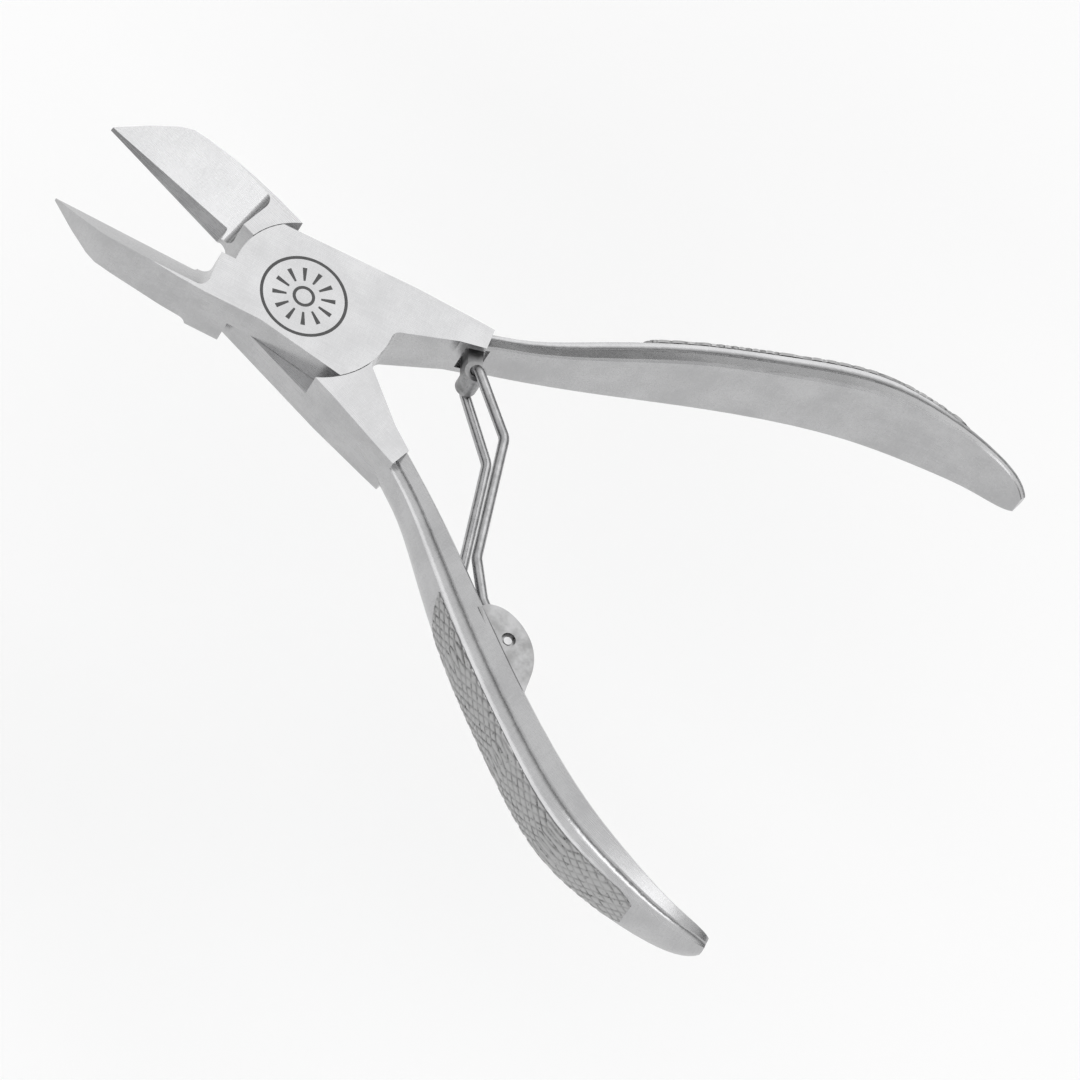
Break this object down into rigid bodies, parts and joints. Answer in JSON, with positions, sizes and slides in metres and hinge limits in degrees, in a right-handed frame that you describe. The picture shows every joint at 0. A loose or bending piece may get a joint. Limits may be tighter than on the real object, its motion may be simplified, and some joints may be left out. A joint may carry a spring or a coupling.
{
  "type": "nail nipper",
  "caption": "Plier-type nail nipper with angled side-cutting jaws, lap joint, fluted curved handles and a wire strut spring that holds it open.",
  "frame": {"origin": "on the pivot axis, at the rear flat face of the joint", "axes": "+X towards the handles along the tool's centre line, +Y towards the front half's handle, +Z out of the front face along the pivot axis"},
  "size_m": [0.1225, 0.0898, 0.013],
  "materials": {
    "satin_steel_front": "satin stainless steel, brushed across the joint",
    "satin_steel_rear": "satin stainless steel",
    "screw_steel": "turned stainless steel",
    "eye_steel": "turned steel, slightly darker",
    "lug_steel": "forged and tumbled steel, slightly rough",
    "pin_steel": "bright ground pin",
    "spring_wire": "bright drawn spring wire"
  },
  "bodies": {
    "rear": {"rear_half": "satin_steel_rear", "spring_lug": "lug_steel", "lug_pin": "pin_steel"},
    "front": {"front_half": "satin_steel_front", "pivot_screw": "screw_steel", "spring_eye": "eye_steel"},
    "spring_upper": {"spring_wire_upper": "spring_wire"},
    "spring_lower": {"spring_wire_lower": "spring_wire"}
  },
  "joints": [
    {"name": "pivot", "type": "hinge", "parent": "rear", "child": "front", "pos_m": [0, 0, 0.0043], "axis": [0, 0, 1], "range_deg": [-23, 0]},
    {"name": "spring_eye_hinge", "type": "hinge", "parent": "front", "child": "spring_upper", "pos_m": [0.02308, 0.00694, 0.0043], "axis": [0, 0, 1], "range_deg": [-1, 84]},
    {"name": "spring_elbow", "type": "hinge", "parent": "spring_upper", "child": "spring_lower", "pos_m": [0.0312, 0.00015, 0.0043], "axis": [0, 0, 1], "range_deg": [-66.5, 1]}
  ],
  "couplings": [
    {"joint": "spring_eye_hinge", "follows": "pivot", "ratio": -3.6},
    {"joint": "spring_elbow", "follows": "pivot", "ratio": 2.84}
  ]
}
